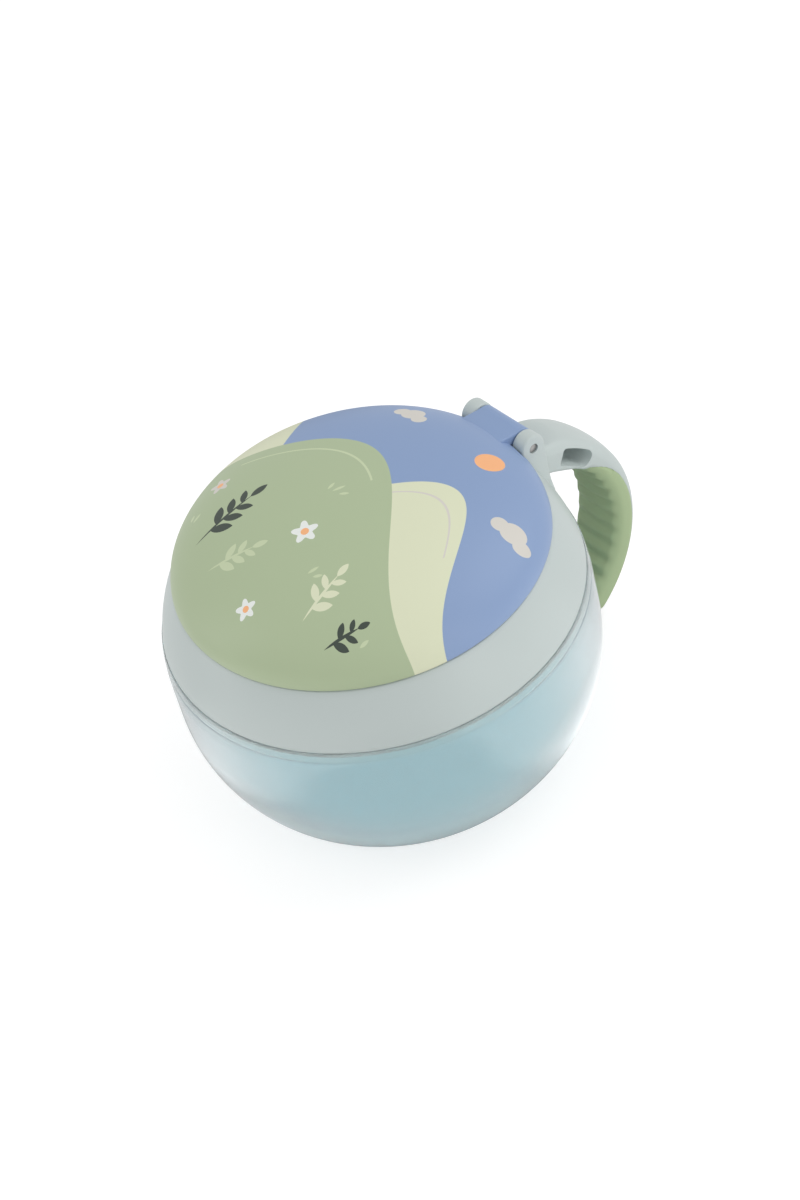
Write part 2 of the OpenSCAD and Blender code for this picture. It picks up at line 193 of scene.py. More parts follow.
foot = reach(BELLY_C, BELLY_R, FOOT_TOP)
groove = reach(SHOULDER_C, SHOULDER_R, GROOVE_Z)
shoulder = reach(SHOULDER_C, SHOULDER_R, SHOULDER_Z)
inner_foot = reach(BELLY_C, BELLY_R - TUB_WALL, TUB_FLOOR)
inner_top = SHOULDER_Z - TUB_WALL
# underside, foot and outer wall
profile = [(0, FOOT_RISE), (FOOT_IN - 1.2, FOOT_RISE)]
profile += corner((FOOT_IN - 1.2, FOOT_RISE), (FOOT_IN, 0), (FOOT_OUT, 0), 0.8)
profile += corner((FOOT_IN, 0), (FOOT_OUT, 0), (foot, FOOT_TOP), 2.2, 6)
profile += climb(BELLY_C, BELLY_R, FOOT_TOP + 0.6, BELLY_C[1], 40)
profile += climb(SHOULDER_C, SHOULDER_R, SHOULDER_C[1], GROOVE_Z - 0.3, 6)
profile += [(groove - deep, GROOVE_Z + z) for deep, z in GROOVE]
profile += climb(SHOULDER_C, SHOULDER_R + 0.05, GROOVE_Z + 0.3, SHOULDER_Z - 0.7, 5)
profile += corner((shoulder + 0.1, SHOULDER_Z - 0.6), (shoulder, SHOULDER_Z), (NECK_R, SHOULDER_Z), 0.3)
# neck
profile += corner((shoulder, SHOULDER_Z), (NECK_R, SHOULDER_Z), (NECK_R, NECK_TOP), 0.6)
profile += corner((NECK_R, SHOULDER_Z), (NECK_R, NECK_TOP), (NECK_IN, NECK_TOP), 0.7)
profile += corner((NECK_R, NECK_TOP), (NECK_IN, NECK_TOP), (NECK_IN, SHOULDER_Z), 0.7)
# inner wall and floor
profile += corner((NECK_IN, NECK_TOP), (NECK_IN, inner_top), (NECK_R, inner_top), 1.5)
profile += climb(SHOULDER_C, SHOULDER_R - TUB_WALL, inner_top, SHOULDER_C[1], 6)
profile += climb(BELLY_C, BELLY_R - TUB_WALL, BELLY_C[1], TUB_FLOOR + 3, 34)
profile += corner((inner_foot + 2.4, TUB_FLOOR + 2.8), (inner_foot, TUB_FLOOR), (0, TUB_FLOOR), 2.6, 6)
profile += [(0, TUB_FLOOR)]
tub = lathe("tub_shell", profile)
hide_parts("tub")
aqua = material("tub plastic", linear(218, 239, 243), 0.2, IOR=1.45, Transmission_Weight=0.75,
                Coat_Weight=0.35, Coat_Roughness=0.08, Coat_IOR=1.45)
# painted light in the tint: a deeper aqua painted towards the bottom and a paler band painted on the rim
# above the groove, standing in for how light comes through the clear tub
AQUA_PAINTED_DEEP, AQUA_PAINTED_LOW, AQUA, AQUA_PAINTED_PALE_RIM = (
    linear(156, 226, 239), linear(198, 236, 242), linear(228, 241, 244), linear(234, 242, 240))
by_height(aqua, (0, AQUA_PAINTED_DEEP), (9, AQUA_PAINTED_LOW), (26, AQUA), (GROOVE_Z, AQUA),
          (GROOVE_Z + 0.2, AQUA_PAINTED_PALE_RIM), (NECK_TOP, AQUA_PAINTED_PALE_RIM))
fit("tub", "tub_plastic", aqua, tub, *thread("neck_thread", NECK_R, *NECK_THREAD))

# ------------------------------------------------------------------ neck gasket
# Flat silicone washer that lies on the end of the neck and is pressed tight
# when the collar is screwed down. Moulded, with softened edges.
GASKET_GAP, GASKET_T = 0.3, 1.2
GASKET_IN, GASKET_OUT = NECK_IN - 0.3, NECK_R + 0.5
GASKET_LOW = NECK_TOP + GASKET_GAP
GASKET_TOP = GASKET_LOW + GASKET_T


def rounded(points, size):
    """An outline with each corner rounded by corner(); size is one number or one per corner."""
    sizes = size if isinstance(size, list) else [size] * len(points)
    nexts = points[1:] + points[:1]
    out = []
    for before, point, after, s in zip(points[-1:] + points, points, nexts, sizes):
        out += corner(before, point, after, s)
    return out


gasket = lathe("gasket_ring", rounded([(GASKET_IN, GASKET_LOW), (GASKET_OUT, GASKET_LOW),
                                       (GASKET_OUT, GASKET_TOP), (GASKET_IN, GASKET_TOP)], 0.35))
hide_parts("neck_gasket")
clear = material("seal silicone", linear(225, 230, 226), 0.45)
fit("neck_gasket", "seal_silicone", clear, gasket)

# ------------------------------------------------------------------ collar
# Opaque pale grey-green ring that screws on the neck: a sloping wall, a deck
# with a round mouth for the flaps, and a rim round the lid. The two ears of
# the hinge are moulded on it, each on a leg that runs down the outside.
THREAD_ROOM, SEAM, DECK_T, RIM_H = 1.0, 0.1, 2.0, 2.9
COLLAR_R = SHOULDER_R - 0.2
COLLAR_Z = SHOULDER_Z + SEAM
DECK_Z = GASKET_TOP + GASKET_GAP
DECK_TOP = DECK_Z + DECK_T
RIM_Z = DECK_TOP + RIM_H
SKIRT_IN, RIM_IN, MOUTH_R = NECK_R + THREAD_ROOM, 43.55, 38.0
COLLAR_THREAD = [z + 1 for z in NECK_THREAD]
PIN_Y, PIN_Z, BORE_R = 46.851, 71.5, 1.3     # axis of the hinge and the bore round it
EAR_R, EAR_IN, EAR_OUT = 3.55, 7.35, 11.35   # radius, inner and outer face
EAR_LEG = [(44.9, 66.6), (46.6, 62.2), (49.4, 54.2), (50.9, 54.6), (50.3, 58.5), (50.1, 63)]


def plate(name, outline, x0, x1, bevel):
    """A side view of (y, z) points pushed straight across the part from x0 to x1, facing
    outwards whichever way it is drawn, with its corners rounded by the bevel."""
    y, z = np.array(outline, float).T
    if np.roll(y, 1) @ z < y @ np.roll(z, 1):
        y, z = y[::-1], z[::-1]
    obj = skinned(name, [np.stack(np.broadcast_arrays(x, y, z), 1) for x in (x0, x1)])
    if bevel:
        mod = obj.modifiers.new("soft edges", "BEVEL")
        mod.width = bevel * MM
        mod.segments = 4
        mod.limit_method = "ANGLE"
        mod.angle_limit = math.radians(50)
        mod.use_clamp_overlap = False
    return baked(obj)


def rod(name, radius, x0, x1, count=64, chamfer=0.001):
    """A round bar along the hinge axis, y = r cos t and z = r sin t from it, chamfered at
    both ends."""
    x = np.array([x0, x0 + chamfer, x1 - chamfer, x1])[:, None]
    r = np.array([radius - chamfer, radius, radius, radius - chamfer])[:, None]
    t = np.linspace(0, 2 * math.pi, count, endpoint=False)
    rings = np.broadcast_arrays(x, PIN_Y + r * np.cos(t), PIN_Z + r * np.sin(t))
    return skinned(name, np.stack(rings, -1), sharp=50)


def baked(obj):
    """Fixes the live modifiers of a piece into its mesh."""
    shown = bpy.context.evaluated_depsgraph_get()
    shown.update()
    mesh = bpy.data.meshes.new_from_object(obj.evaluated_get(shown))
    obj.modifiers.clear()
    obj.data = mesh
    return obj


def cut(obj, *tools, sharp=35):
    """Cuts the tools out of a piece and removes them."""
    for tool in tools:
        mod = obj.modifiers.new("cut", "BOOLEAN")
        mod.operation = "DIFFERENCE"
        mod.solver = "EXACT"
        mod.object = tool
    baked(obj)
    for tool in tools:
        bpy.data.objects.remove(tool)
    obj.data.shade_smooth()
    obj.data.set_sharp_from_angle(angle=math.radians(sharp))
    return obj


def grain(mat, size, depth):
    """Adds the fine grain of a mould: bumps of a noise, size across and depth high."""
    tree = mat.node_tree
    where = tree.nodes.new("ShaderNodeTexCoord")
    noise = tree.nodes.new("ShaderNodeTexNoise")
    noise.inputs["Scale"].default_value = 1 / (size * MM)
    noise.inputs["Detail"].default_value = 2
    bump = tree.nodes.new("ShaderNodeBump")
    bump.inputs["Strength"].default_value = 0.5
    bump.inputs["Distance"].default_value = depth * MM
    tree.links.new(where.outputs["Object"], noise.inputs["Vector"])
    tree.links.new(noise.outputs["Fac"], bump.inputs["Height"])
    tree.links.new(bump.outputs["Normal"], tree.nodes["Principled BSDF"].inputs["Normal"])
    return mat


low_r = reach(SHOULDER_C, COLLAR_R, COLLAR_Z)
rim_r = reach(SHOULDER_C, COLLAR_R, RIM_Z)
# lower edge and outer wall
profile = corner((SKIRT_IN, DECK_Z), (SKIRT_IN, COLLAR_Z), (low_r, COLLAR_Z), 0.4)
profile += corner((SKIRT_IN, COLLAR_Z), (low_r, COLLAR_Z), (low_r - 0.1, COLLAR_Z + 1), 0.4)
profile += climb(SHOULDER_C, COLLAR_R, COLLAR_Z + 0.8, RIM_Z - 0.6, 26)
# rim
profile += corner((rim_r + 0.4, RIM_Z - 0.7), (rim_r, RIM_Z), (RIM_IN, RIM_Z), 0.55)
profile += corner((rim_r, RIM_Z), (RIM_IN, RIM_Z), (RIM_IN, DECK_TOP), 0.5)
# deck, down to the inside of the skirt
profile += corner((RIM_IN, RIM_Z), (RIM_IN, DECK_TOP), (MOUTH_R, DECK_TOP), 0.5)
profile += [(MOUTH_R, DECK_TOP), (MOUTH_R, DECK_Z)]
profile += corner((MOUTH_R, DECK_Z), (SKIRT_IN, DECK_Z), (SKIRT_IN, COLLAR_Z), 0.4)
collar = lathe("collar_ring", profile)
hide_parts("collar")
sage = grain(material("collar plastic", linear(194, 204, 202), 0.38), 0.5, 0.01)
ear_outline = arc((PIN_Y, PIN_Z), EAR_R, 5, 205, 40) + EAR_LEG
for name, x0, x1 in (("left_ear", -EAR_OUT, -EAR_IN), ("right_ear", EAR_IN, EAR_OUT)):
    ear = plate(name, ear_outline, x0, x1, 0.55)
    cut(ear, rod("bore", BORE_R, x0 - 1, x1 + 1))
    fit("collar", "collar_plastic", sage, ear)
fit("collar", "collar_plastic", sage, collar, *thread("collar_thread", SKIRT_IN, *COLLAR_THREAD, -1))

# ------------------------------------------------------------------ hinge pin
# Plain steel pin, pushed through both ears and the knuckle of the lid. Its
# ends are chamfered and set back a little in the ears.
PIN_R, PIN_BACK = 1.27, 0.3
pin = rod("steel_pin", PIN_R, PIN_BACK - EAR_OUT, EAR_OUT - PIN_BACK, chamfer=0.25)
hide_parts("hinge_pin")
steel = material("pin steel", linear(150, 149, 147), 0.35, Metallic=0.5)
fit("collar", "pin_steel", steel, pin)

# ------------------------------------------------------------------ handle
# Hard C-shaped bar of the collar's plastic, seated on the collar between the
# ears: thick at its top, with a slot for a strap, then a spine that thins to
# a skin behind the grip. Angles are about its own centre, 0 pointing away.
HANDLE_C, HANDLE_R = (41.4, 31.9), 34.9      # centre as (distance from the axis, height)
BAR_T, BAR_W, BAR_ROUND = 7.6, 16.0, 2.5     # thickness, width, rounding of its edges
GRIP_T, SPINE_T = 6.2, 1.15                  # thickness with the grip, and of the skin behind it
CROWN_OUT, CROWN_IN, CROWN_A = 1.2, 0.8, (74, 58)  # crown heights, angles between which they grow
SLOT_A, SLOT_DEPTH, SLOT_L, SLOT_H = 51.0, 3.6, 10.0, 4.2
SLOT_ROUND = [1.0, 2.1, 2.1, 1.0]
SLOT_MOUTHS = ((-12, 0.3), (-7.95, 0.3), (-7.3, 0), (7.3, 0), (7.95, 0.3), (12, 0.3))  # (x, flare)
SLOT_R = HANDLE_R - SLOT_DEPTH
ROOT_A, THIN_A, TIP_A = 86, 60, -54.85       # top, start of the thinning, tip
GRIP_TOP = SLOT_A - math.degrees(SLOT_L / 2 / SLOT_R) - 2.5


def at(depth, angle, x):
    """A point of the handle from its depth below the outside, its angle and its place across:
    y and z are the centre + (radius - depth) * (cos angle, sin angle)."""
    a = np.radians(angle)
    return np.stack(np.broadcast_arrays(x, HANDLE_C[0] + (HANDLE_R - depth) * np.cos(a),
                                        HANDLE_C[1] + (HANDLE_R - depth) * np.sin(a)), -1)


def spine(angle):
    """Depth of the line between hard spine and soft grip: the skin, plus the rest of the grip
    * u ^ 6.5, where u runs from 0 at the tip to 1 at the top of the grip."""
    u = min(max((angle - TIP_A) / (GRIP_TOP - TIP_A), 0.0), 1.0)
    return SPINE_T + (GRIP_T - SPINE_T) * u ** 6.5


def half_outline(thick, start, end, swell=0.0, inner=BAR_ROUND):
    """Half of a rounded bar section as (depth, place across) points: a quarter circle at the
    outside and one at the inside, cut at two depths and brought back to the middle."""
    t = np.radians(np.linspace(0, 90, 25))
    r, q = BAR_ROUND + swell, inner + swell
    depth = np.concatenate([BAR_ROUND - r * np.cos(t), thick - inner + q * np.sin(t)])
    across = BAR_W / 2 + np.concatenate([r * np.sin(t) - BAR_ROUND, q * np.cos(t) - inner])
    keep = (depth > start) & (depth < end)
    edge = np.interp((start, end), depth, across)
    first = [(start, 0)] + ([(start, edge[0])] if start > 0 else [])
    last = ([(end, edge[1])] if end < thick else []) + [(end, 0)]
    return np.concatenate([first, np.stack([depth[keep], across[keep]], 1), last])


def spread(points, count):
    """The same line with points at even steps of its length."""
    along = np.concatenate([[0], np.cumsum(np.hypot(*np.diff(points, axis=0).T))])
    stops = np.linspace(0, along[-1], count)
    return np.stack([np.interp(stops, along, points[:, 0]), np.interp(stops, along, points[:, 1])], 1)


def ease(value, low, high):
    """Runs smoothly from 0 at low to 1 at high: t ^ 2 * (3 - 2 * t)."""
    t = min(max((value - low) / (high - low), 0.0), 1.0)
    return t * t * (3 - 2 * t)


def ring_at(half, angle, thick=GRIP_T):
    """A whole ring of the handle from half of its outline. Outside and inside are crowned by
    1 - (2 * x / width) ^ 2 of their crown heights, away from the root."""
    full = np.concatenate([half, half[-2:0:-1] * (1, -1)])
    hump = np.clip(1 - (2 * full[:, 1] / BAR_W) ** 2, 0, 1)
    deep = np.clip(full[:, 0] / thick, 0, 1)
    out = CROWN_OUT * ease(angle, *CROWN_A)
    inn = CROWN_IN * ease(angle, GRIP_TOP + 6, GRIP_TOP - 6)
    return at(full[:, 0] + hump * (inn * deep - out * (1 - deep)), angle, full[:, 1])


rings = []
for a in np.linspace(ROOT_A, TIP_A, 200):
    thick = BAR_T + (GRIP_T + 0.3 - BAR_T) * ease(a, THIN_A, GRIP_TOP - 2)
    deep = min(spine(a), thick) if a < GRIP_TOP else thick
    inner = 1.0 + 1.5 * ease(a, GRIP_TOP + 2, GRIP_TOP - 2)
    rings.append(ring_at(spread(half_outline(thick, 0, deep, inner=inner), 64), a, thick))
skin = spread(half_outline(GRIP_T, 0, SPINE_T), 64)
for k in np.linspace(0.15, 1, 7):
    thinned = skin * (1 - 0.85 * k ** 2, 1 - 0.2 * k ** 2) + (0.45 * k ** 2, 0)
    rings.append(ring_at(thinned, TIP_A - 2.2 * k))
handle = skinned("hard_bar", rings)

# the slot's outline along and across the bar, and its flared mouths at both sides
half_l, half_h = SLOT_L / 2, SLOT_H / 2
loop = rounded([(half_l, half_h), (-half_l, half_h), (-half_l, -half_h), (half_l, -half_h)], SLOT_ROUND)
loop = spread(np.array(loop + loop[:1]), 121)[:-1]
rings = []
for x, flare in SLOT_MOUTHS:
    along, deep = (loop * (1 + flare / half_l, 1 + flare / half_h)).T
    rings.append(at(SLOT_DEPTH + deep, SLOT_A + np.degrees(along / SLOT_R), x))
cut(handle, skinned("slot", rings), sharp=40)
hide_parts("handle")
fit("collar", "collar_plastic", sage, handle)

# ------------------------------------------------------------------ grip
# Soft olive rubber moulded over the spine: a rounded inside with ribs for the
# fingers, a round end, and a fine step where it meets the hard plastic.
GRIP_STEP, GRIP_SUNK = 0.1, 0.35             # step at the hard plastic, overlap inside it
RIBS, RIB_PITCH, RIB_H, RIB_LOW = 11, 4.5, 0.8, 0.3
RIB_A = math.degrees(RIB_PITCH / (HANDLE_R - GRIP_T))
END_L = GRIP_T / 2
END_A = math.degrees(END_L / (HANDLE_R - END_L))


def grip_half(angle):
    """Half of the grip's section: from inside the spine, out over the step and round the
    inside, where the ribs rise by sin(pi * place / pitch) ^ 2."""
    top = min(spine(angle), GRIP_T - 0.25)
    sunk = max(top - GRIP_SUNK, 0.2)
    half = half_outline(GRIP_T, top, GRIP_T, GRIP_STEP)
    lip = half[1][1]
    # where the grip starts it is thin, and its few points are all kept
    curve = half[2:-1] if len(half) > 6 else half[1:-1]
    half = np.concatenate([[(sunk, 0), (sunk, lip - 0.5), (top, lip - 0.25)], curve,
                           [(GRIP_T + GRIP_STEP, 0)]])
    half = spread(half, 56)
    place = (GRIP_TOP - 1 - angle) / RIB_A
    crest = math.sin(math.pi * place) ** 2 if 0 < place < RIBS else 0.0
    across = np.clip((BAR_W / 2 - 0.4 - np.abs(half[:, 1])) / 3, 0, 1)
    inside = np.clip((half[:, 0] - GRIP_T + 1.5) / 1.5, 0, 1)
    half[:, 0] += (RIB_H * crest - RIB_LOW) * inside * across ** 0.7
    return half


rings = [ring_at(grip_half(a), a) for a in np.linspace(GRIP_TOP - 0.3, TIP_A, 280)]
last = grip_half(TIP_A)
for k in np.linspace(0, 1, 16)[1:]:
    shrink = 0.98 * math.sqrt(1 - k * k) + 0.02
    half = (last - (GRIP_T / 2, 0)) * (shrink, 0.7 + 0.3 * shrink) + (GRIP_T / 2, 0)
    rings.append(ring_at(half, TIP_A - k * END_A))
grip = skinned("soft_grip", rings, sharp=60)
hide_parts("handle_grip")
olive = grain(material("grip rubber", linear(174, 193, 150), 0.62), 0.35, 0.02)
fit("collar", "grip_rubber", olive, grip)

# ------------------------------------------------------------------ flaps
# One soft elastomer moulding, pushed into the mouth: a ring whose two lips
# grip the edge of the deck, and six pointed flaps that bend at their roots
# to let a hand in. Each flap has a raised border and a round bend line.
FLAPS, FLAP_Z = 6, (DECK_Z + DECK_TOP) / 2
FLAP_ROOT, FLAP_TIP, FLAP_T, SLIT = 31.0, 2.2, 1.3, 0.5
FLAP_EDGE, FLAP_NOSE, BORDER_W, BORDER_H = 0.4, 0.5, 0.9, 0.18
RING_HOLE, RING_WALL, LIP_OUT, LIP_T, PLAY = 31.95, MOUTH_R - 1.3, MOUTH_R + 2, 0.8, 0.05


def turned(sections, turn):
    """Stands clockwise (r, z) outlines at angles t round the axis: x = r cos t, y = r sin t."""
    sections = np.broadcast_to(sections, (len(turn), *np.shape(sections)[-2:]))
    r, z = sections[..., 0], sections[..., 1]
    return np.stack([r * np.cos(turn)[:, None], r * np.sin(turn)[:, None], z], -1)


def ring_section(turn):
    """The ring's outline at an angle. Its web ends at the six-sided hole, whose side lies at
    the hole's radius / cos(angle off the middle of the side)."""
    side = 2 * math.pi / FLAPS
    off = (turn + side / 2) % side - side / 2
    hole = min(RING_HOLE / math.cos(off), RING_WALL - 0.05)
    web = FLAP_Z + FLAP_T / 2 + 0.2
    soft_edge = min(FLAP_EDGE, (RING_WALL - hole) / 2.2)
    lip = DECK_TOP + PLAY
    half = [(hole, web), (RING_WALL, web), (RING_WALL, lip + LIP_T), (LIP_OUT, lip + LIP_T),
            (LIP_OUT, lip), (MOUTH_R - PLAY, lip)]
    other = [(r, 2 * FLAP_Z - z) for r, z in half]
    sizes = [soft_edge, soft_edge, 0.35, 0.35, 0.2, 0.1]
    return rounded(half + other[::-1], sizes + sizes[::-1])


def flap_surface(turn):
    """A flap as rings from root to tip: half its width is u * tan(30) less half the slit, the
    root is half round, all edges are quarter circles, and the middle is sunk inside a border
    by t ^ 2 * (3 - 2 * t) of its height."""
    half_a, half_t = math.pi / FLAPS, FLAP_T / 2
    u = np.concatenate([FLAP_ROOT + half_t * np.sin(np.linspace(1.5, 0, 10, endpoint=False)),
                        np.linspace(FLAP_ROOT, FLAP_TIP + FLAP_NOSE, 70),
                        FLAP_TIP + FLAP_NOSE * (1 - np.linspace(0.1, 1, 8))])
    wide = np.minimum(u, FLAP_ROOT) * math.tan(half_a) - SLIT / 2 / math.cos(half_a)
    near = np.clip((u - FLAP_TIP) / FLAP_NOSE, 0, 1)
    bend = np.sqrt(np.maximum(half_t ** 2 - (u - FLAP_ROOT) ** 2, 1e-4))
    nose = half_t * (0.45 + 0.55 * np.sqrt(1 - (1 - near) ** 2))
    thick = np.where(u > FLAP_ROOT, bend, nose)
    v = wide[:, None] * np.sin(np.linspace(-1, 1, 49) * math.pi / 2)
    inset = wide[:, None] - np.abs(v)
    r = np.minimum(FLAP_EDGE, 0.9 * thick)[:, None]
    top = thick[:, None] - r + np.sqrt(np.maximum(r ** 2 - np.maximum(r - inset, 0) ** 2, 0))
    t = np.clip((np.minimum(inset, (FLAP_ROOT - u)[:, None]) - BORDER_W) / BORDER_W, 0, 1)
    top -= BORDER_H * t * t * (3 - 2 * t)
    v = np.concatenate([v, v[:, ::-1]], 1)
    z = np.concatenate([top, -top[:, ::-1]], 1)
    u = np.broadcast_to(u[:, None], v.shape)
    return np.stack([u * math.cos(turn) - v * math.sin(turn), u * math.sin(turn) + v * math.cos(turn),
                     FLAP_Z + z], -1)


soft = grain(material("flap rubber", linear(205, 218, 210), 0.55), 0.4, 0.01)
turn = np.linspace(0, 2 * math.pi, 360, endpoint=False)
flap_ring = skinned("rubber_ring", turned([ring_section(a) for a in turn], turn), closed=True)
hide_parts("flap_ring")
fit("collar", "flap_rubber", soft, flap_ring)
for i in range(FLAPS):
    flap = skinned(f"rubber_flap_{i + 1}", flap_surface(2 * math.pi * i / FLAPS), sharp=50)
    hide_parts(f"flap_{i + 1}")
    fit(f"flap_{i + 1}", "flap_rubber", soft, flap)

# ------------------------------------------------------------------ lid
# Domed flip lid, moulded in opaque blue plastic with a groove for its seal, a
# skirt with a snap bead that holds it in the rim, and the knuckle of the
# hinge. A landscape is printed on its outside.
LID_GAP, LID_R, DOME_H, LID_WALL = 0.35, 46.151, 18.5, 1.8
LID_Z, LID_SKIRT_Z = RIM_Z + LID_GAP, DECK_TOP + LID_GAP
LID_SKIRT = RIM_IN - 0.5
LID_SKIRT_IN = LID_SKIRT - 1.6
BEAD_Z = 65.75
BEAD = ((0, -0.4), (0.13, -0.2), (0.2, 0), (0.13, 0.2), (0, 0.4))  # (bulge, height from its middle)
SEAT_IN, SEAT_OUT, SEAT_H = LID_SKIRT + 0.6, 45.25, 0.9  # groove for the seal
KNUCKLE_X, KNUCKLE_R = EAR_IN - 0.25, EAR_R - 0.15
KNUCKLE_ROOT = [(39.8, 76.0), (40.9, 75.0), (42.6, 72.4), (43.4, 68.0), (45.0, 67.75)]
NOTCH_R, NOTCH_SIDE = EAR_R + 0.4, 0.6


def oval(a, b, start, end, count):
    """Points of the dome: distance a * cos t from the axis, height b * sin t above its edge."""
    t = np.radians(np.linspace(start, end, count + 1))
    return np.stack([a * np.abs(np.cos(t)), LID_Z + b * np.sin(t)], 1).tolist()


class Drawing:
    """The lid's print, as node masks of a place on the lid seen from above, in millimetres,
    laid over one another. u and v are the lid's X and Y."""

    def __init__(self, mat):
        """Measures places on the lid, and finds its outside: there (distance / radius) ^ 2 +
        (height / dome height) ^ 2 is over 0.97."""
        self.tree = mat.node_tree
        self.base = self.tree.nodes["Principled BSDF"].inputs["Base Color"]
        self.colour = None
        where = self.tree.nodes.new("ShaderNodeTexCoord").outputs["Object"]
        flat = self.tree.nodes.new("ShaderNodeMapping")
        flat.inputs["Scale"].default_value = (1 / MM, 1 / MM, 0)
        self.tree.links.new(where, flat.inputs["Vector"])
        self.place = flat.outputs["Vector"]
        self.u, self.v = self.parts(self.place)[:2]
        out = self.calc("POWER", self.calc("DIVIDE", self.distance(0, 0), LID_R), 2)
        up = self.calc("MULTIPLY_ADD", self.parts(where)[2], 1 / MM / DOME_H, -LID_Z / DOME_H)
        self.outside = self.calc("GREATER_THAN", self.calc("MULTIPLY_ADD", up, up, out), 0.97)

    def parts(self, vector):
        """The X, Y and Z of a vector."""
        split = self.tree.nodes.new("ShaderNodeSeparateXYZ")
        self.tree.links.new(vector, split.inputs["Vector"])
        return split.outputs

    def calc(self, kind, *values):
        """One step of arithmetic on numbers and links."""
        node = self.tree.nodes.new("ShaderNodeMath")
        node.operation = kind
        for i, value in enumerate(values):
            if isinstance(value, (int, float)):
                node.inputs[i].default_value = value
            else:
                self.tree.links.new(value, node.inputs[i])
        return node.outputs[0]

    def distance(self, u, v):
        """Distance of each place from the point (u, v)."""
        node = self.tree.nodes.new("ShaderNodeVectorMath")
        node.operation = "DISTANCE"
        self.tree.links.new(self.place, node.inputs[0])
        node.inputs[1].default_value = (u, v, 0)
        return node.outputs["Value"]

    def hill(self, height, rise, length, start):
        """All below the wave height + rise * sin(u / length + start)."""
        wave = self.calc("SINE", self.calc("MULTIPLY_ADD", self.u, 1 / length, start))
        return self.calc("LESS_THAN", self.v, self.calc("MULTIPLY_ADD", wave, rise, height))

    def contour(self, height, rise, length, start, width, low, high):
        """A thin line along the top of a hill, from u = low to u = high."""
        below = self.calc("SUBTRACT", 1.0, self.hill(height - width, rise, length, start))
        line = self.calc("MULTIPLY", self.hill(height, rise, length, start), below)
        inside = self.calc("MULTIPLY", self.calc("GREATER_THAN", self.u, low),
                           self.calc("LESS_THAN", self.u, high))
        return self.calc("MULTIPLY", line, inside)

    def disc(self, u, v, radius):
        """All nearer to (u, v) than the radius."""
        return self.calc("LESS_THAN", self.distance(u, v), radius)

    def leaf(self, u, v, length, width, angle):
        """What two crossing circles share, each of radius (length ^ 2 + width ^ 2) / (4 * width)."""
        radius = (length ** 2 + width ** 2) / (4 * width)
        off, a = radius - width / 2, math.radians(angle + 90)
        near = self.distance(u + off * math.cos(a), v + off * math.sin(a))
        far = self.distance(u - off * math.cos(a), v - off * math.sin(a))
        return self.calc("LESS_THAN", self.calc("MAXIMUM", near, far), radius)

    def flower(self, u, v, radius, petals):
        """All inside radius * (0.78 + 0.22 * cos(petals * angle)) about (u, v)."""
        turn = self.calc("ARCTAN2", self.calc("SUBTRACT", self.v, v), self.calc("SUBTRACT", self.u, u))
        wave = self.calc("COSINE", self.calc("MULTIPLY", turn, petals))
        edge = self.calc("MULTIPLY_ADD", wave, 0.22 * radius, 0.78 * radius)
        return self.calc("LESS_THAN", self.distance(u, v), edge)

    def sprig(self, u, v, length, lean, leaves, size, colour):
        """A stem with leaves by turns on both sides, smaller towards its end, and one on top."""
        a = math.radians(lean)

        def point(d):
            """The point of the stem at a distance from its foot."""
            return u + d * math.cos(a), v + d * math.sin(a)

        self.fill(self.leaf(*point(length / 2), length * 1.04, 0.7, lean), colour)
        for i in range(leaves):
            x, y = point(length * (0.25 + 0.68 * i / leaves))
            b = a + math.radians(48 if i % 2 else -48)
            long = size * (1 - 0.35 * i / leaves)
            self.fill(self.leaf(x + long / 2 * math.cos(b), y + long / 2 * math.sin(b), long,
                                long * 0.42, math.degrees(b)), colour)
        self.fill(self.leaf(*point(length + size * 0.3), size * 0.8, size * 0.34, lean), colour)

    def fill(self, mask, colour):
        """Lays a colour over all before it, inside a mask and on the lid's outside."""
        mix = self.tree.nodes.new("ShaderNodeMix")
        mix.data_type = "RGBA"
        self.tree.links.new(self.calc("MULTIPLY", mask, self.outside), mix.inputs[0])
        if self.colour is None:
            mix.inputs[6].default_value = self.base.default_value
        else:
            self.tree.links.new(self.colour, mix.inputs[6])
        mix.inputs[7].default_value = (*colour, 1)
        self.colour = mix.outputs[2]

    def done(self):
        """Puts the print on the lid."""
        self.tree.links.new(self.colour, self.base)


# flange and dome, outside then inside
profile = corner((SEAT_OUT, LID_Z), (LID_R, LID_Z), (LID_R, LID_Z + 2), 0.35)
profile += oval(LID_R, DOME_H, 2.2, 90, 70)
profile += oval(LID_R - LID_WALL, DOME_H - LID_WALL, 90, 13, 50)
# skirt with its bead, and the groove for the seal
web_z = LID_Z + LID_WALL
profile += corner((43.2, 71.2), (LID_SKIRT_IN, web_z), (LID_SKIRT_IN, LID_SKIRT_Z), 0.3)
profile += corner((LID_SKIRT_IN, web_z), (LID_SKIRT_IN, LID_SKIRT_Z), (LID_SKIRT, LID_SKIRT_Z), 0.5)
profile += corner((LID_SKIRT_IN, LID_SKIRT_Z), (LID_SKIRT, LID_SKIRT_Z), (LID_SKIRT, LID_Z), 0.5)
profile += [(LID_SKIRT + bulge, BEAD_Z + z) for bulge, z in BEAD]
profile += [(LID_SKIRT, LID_Z), (SEAT_IN, LID_Z), (SEAT_IN, LID_Z + SEAT_H),
            (SEAT_OUT, LID_Z + SEAT_H), (SEAT_OUT, LID_Z)]
lid = lathe("lid_shell", profile, sharp=38)
knuckle = plate("lid_knuckle", arc((PIN_Y, PIN_Z), KNUCKLE_R, -90, 97, 38) + KNUCKLE_ROOT,
                -KNUCKLE_X, KNUCKLE_X, 0.45)
cut(knuckle, rod("bore", BORE_R, -KNUCKLE_X - 1, KNUCKLE_X + 1))
